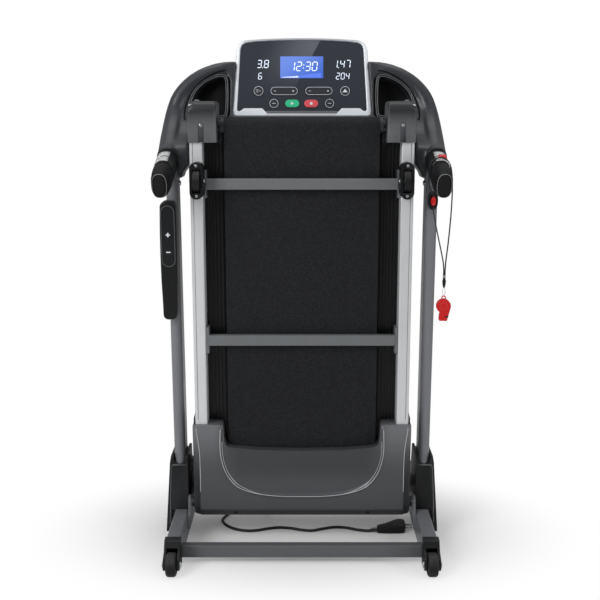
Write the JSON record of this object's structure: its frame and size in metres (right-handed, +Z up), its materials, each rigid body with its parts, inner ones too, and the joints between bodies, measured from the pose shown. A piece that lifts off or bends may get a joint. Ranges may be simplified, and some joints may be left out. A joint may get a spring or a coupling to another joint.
{
  "type": "treadmill",
  "caption": "Folding motor treadmill stored upright: deck on end, floor frame with wheels, uprights, console with grips, side key pod, safety lanyard.",
  "frame": {"origin": "on the floor, under the middle of the machine", "axes": "+X to the user's right, +Y forward and away from the user, +Z up"},
  "size_m": [0.7396, 0.624, 1.3311],
  "materials": {
    "frame_grey": "satin powder coat",
    "upright_grey": "satin powder coat",
    "rail_silver": "metallic silver coat",
    "crossbar_grey": "satin powder coat",
    "inner_steel": "black powder coat",
    "zinc": "zinc plated",
    "chrome": "polished",
    "black_plastic": "fine grain",
    "shell_plastic": "fine grain",
    "pan_plastic": "satin, metallic grey",
    "cap_plastic": "satin",
    "bezel_silver": "silver coat",
    "panel_black": "glossy",
    "display_blue": "lit display",
    "key_dark": "glossy",
    "key_green": "glossy",
    "key_red": "glossy",
    "signal_red": "glossy",
    "grip_foam": "soft, matte",
    "wheel_rubber": "moulded",
    "belt_rubber": "diamond woven",
    "cord_black": "smooth",
    "board_wood": "laminated underside",
    "motor_steel": "painted",
    "circuit_green": "circuit board"
  },
  "bodies": {
    "base": {"base_side_tubes": "frame_grey", "base_cross_tubes": "frame_grey", "frame_bolts": "zinc", "wheel_forks": "black_plastic", "front_feet": "wheel_rubber", "uprights": "upright_grey", "upright_covers": "black_plastic", "console_shell": "shell_plastic", "handlebar_frame": "inner_steel", "console_bezel": "bezel_silver", "console_panel": "panel_black", "display_board": "display_blue", "grips": "grip_foam", "pulse_sensors": "chrome", "speed_pod": "black_plastic", "pod_panel": "panel_black", "key_holder": "black_plastic", "lanyard": "cord_black", "lanyard_toggle": "cord_black", "power_cord": "cord_black", "cord_coil": "cord_black", "power_plug": "cord_black"},
    "deck": {"deck_rails": "rail_silver", "deck_crossbars": "crossbar_grey", "motor_frame": "inner_steel", "deck_board": "board_wood", "deck_cushions": "wheel_rubber", "foot_rails": "black_plastic", "running_belt": "belt_rubber", "deck_bolts": "zinc", "end_caps": "cap_plastic", "foot_roller_housings": "black_plastic", "belly_pan": "pan_plastic", "motor_hood": "pan_plastic", "drive_motor": "motor_steel", "drive_belt": "belt_rubber", "controller": "circuit_green", "cord_gland": "cord_black"},
    "base_wheel_left": {"base_wheel_left": "wheel_rubber"},
    "base_wheel_right": {"base_wheel_right": "wheel_rubber"},
    "program_key": {"program_key": "key_dark"},
    "speed_rocker": {"speed_rocker": "key_dark"},
    "incline_rocker": {"incline_rocker": "key_dark"},
    "fan_key": {"fan_key": "key_dark"},
    "mode_key": {"mode_key": "key_dark"},
    "start_key": {"start_key": "key_green"},
    "stop_key": {"stop_key": "key_red"},
    "sound_key": {"sound_key": "key_dark"},
    "pod_plus_key": {"pod_plus_key": "key_dark"},
    "pod_minus_key": {"pod_minus_key": "key_dark"},
    "quick_stop_key": {"quick_stop_key": "signal_red"},
    "safety_key": {"safety_key": "signal_red"},
    "whistle": {"whistle": "signal_red"},
    "fold_lock_pin": {"fold_lock_pin": "zinc"},
    "front_roller": {"front_roller": "zinc"},
    "rear_roller": {"rear_roller": "zinc"},
    "foot_roller_left": {"foot_roller_left": "wheel_rubber"},
    "foot_roller_right": {"foot_roller_right": "wheel_rubber"},
    "motor_pulley": {"motor_pulley": "zinc"},
    "power_switch": {"power_switch": "signal_red"}
  },
  "joints": [
    {"name": "deck_fold", "type": "hinge", "parent": "base", "child": "deck", "pos_m": [0, -0.06, 0.104], "axis": [1, 0, 0], "range_deg": [0, 90.6]},
    {"name": "left_wheel_spin", "type": "hinge", "parent": "base", "child": "base_wheel_left", "pos_m": [-0.326, -0.282, 0.03], "axis": [1, 0, 0], "continuous": true},
    {"name": "right_wheel_spin", "type": "hinge", "parent": "base", "child": "base_wheel_right", "pos_m": [0.326, -0.282, 0.03], "axis": [1, 0, 0], "continuous": true},
    {"name": "front_roller_spin", "type": "hinge", "parent": "deck", "child": "front_roller", "pos_m": [0, -0.052, 0.215], "axis": [1, 0, 0], "continuous": true},
    {"name": "rear_roller_spin", "type": "hinge", "parent": "deck", "child": "rear_roller", "pos_m": [0, -0.052, 1.1045], "axis": [1, 0, 0], "continuous": true},
    {"name": "motor_spin", "type": "hinge", "parent": "deck", "child": "motor_pulley", "pos_m": [0, 0.03, 0.15], "axis": [1, 0, 0], "continuous": true},
    {"name": "left_foot_roller_spin", "type": "hinge", "parent": "deck", "child": "foot_roller_left", "pos_m": [-0.2595, -0.126, 0.972], "axis": [1, 0, 0], "continuous": true},
    {"name": "right_foot_roller_spin", "type": "hinge", "parent": "deck", "child": "foot_roller_right", "pos_m": [0.2595, -0.126, 0.972], "axis": [1, 0, 0], "continuous": true},
    {"name": "power_switch_rock", "type": "hinge", "parent": "deck", "child": "power_switch", "pos_m": [-0.215, 0.045, 0.079], "axis": [0, 1, 0], "range_deg": [0, 14]},
    {"name": "fold_lock_slide", "type": "slide", "parent": "base", "child": "fold_lock_pin", "axis": [0, 1, 0], "range_m": [-0.012, 0]},
    {"name": "program_key_press", "type": "slide", "parent": "base", "child": "program_key", "axis": [0, 0.9711, -0.2385], "range_m": [0, 0.001], "stiffness_N_per_m": 300},
    {"name": "fan_key_press", "type": "slide", "parent": "base", "child": "fan_key", "axis": [0, 0.9711, -0.2385], "range_m": [0, 0.001], "stiffness_N_per_m": 300},
    {"name": "mode_key_press", "type": "slide", "parent": "base", "child": "mode_key", "axis": [0, 0.9711, -0.2385], "range_m": [0, 0.001], "stiffness_N_per_m": 300},
    {"name": "sound_key_press", "type": "slide", "parent": "base", "child": "sound_key", "axis": [0, 0.9711, -0.2385], "range_m": [0, 0.001], "stiffness_N_per_m": 300},
    {"name": "start_key_press", "type": "slide", "parent": "base", "child": "start_key", "axis": [0, 0.9711, -0.2385], "range_m": [0, 0.001], "stiffness_N_per_m": 300},
    {"name": "stop_key_press", "type": "slide", "parent": "base", "child": "stop_key", "axis": [0, 0.9711, -0.2385], "range_m": [0, 0.001], "stiffness_N_per_m": 300},
    {"name": "speed_rocker_tilt", "type": "hinge", "parent": "base", "child": "speed_rocker", "pos_m": [-0.0467, 0.07872, 1.19239], "axis": [0, 0.2385, 0.9711], "range_deg": [-2.5, 2.5], "stiffness_Nm_per_rad": 0.08},
    {"name": "incline_rocker_tilt", "type": "hinge", "parent": "base", "child": "incline_rocker", "pos_m": [0.0447, 0.07872, 1.19239], "axis": [0, 0.2385, 0.9711], "range_deg": [-2.5, 2.5], "stiffness_Nm_per_rad": 0.08},
    {"name": "pod_plus_press", "type": "slide", "parent": "base", "child": "pod_plus_key", "axis": [0, 0.9994, 0.0349], "range_m": [0, 0.001], "stiffness_N_per_m": 300},
    {"name": "pod_minus_press", "type": "slide", "parent": "base", "child": "pod_minus_key", "axis": [0, 0.9994, 0.0349], "range_m": [0, 0.001], "stiffness_N_per_m": 300},
    {"name": "quick_stop_press", "type": "slide", "parent": "base", "child": "quick_stop_key", "axis": [0, 0.2924, -0.9563], "range_m": [0, 0.002], "stiffness_N_per_m": 500},
    {"name": "safety_key_pull", "type": "slide", "parent": "base", "child": "safety_key", "axis": [0, -0.9994, -0.0349], "range_m": [0, 0.02]},
    {"name": "whistle_swing", "type": "hinge", "parent": "base", "child": "whistle", "pos_m": [0.3521, -0.165, 0.686], "axis": [0, 1, 0], "range_deg": [-40, 40]}
  ],
  "couplings": [
    {"joint": "rear_roller_spin", "follows": "front_roller_spin", "ratio": 1},
    {"joint": "motor_spin", "follows": "front_roller_spin", "ratio": 3.3333}
  ]
}
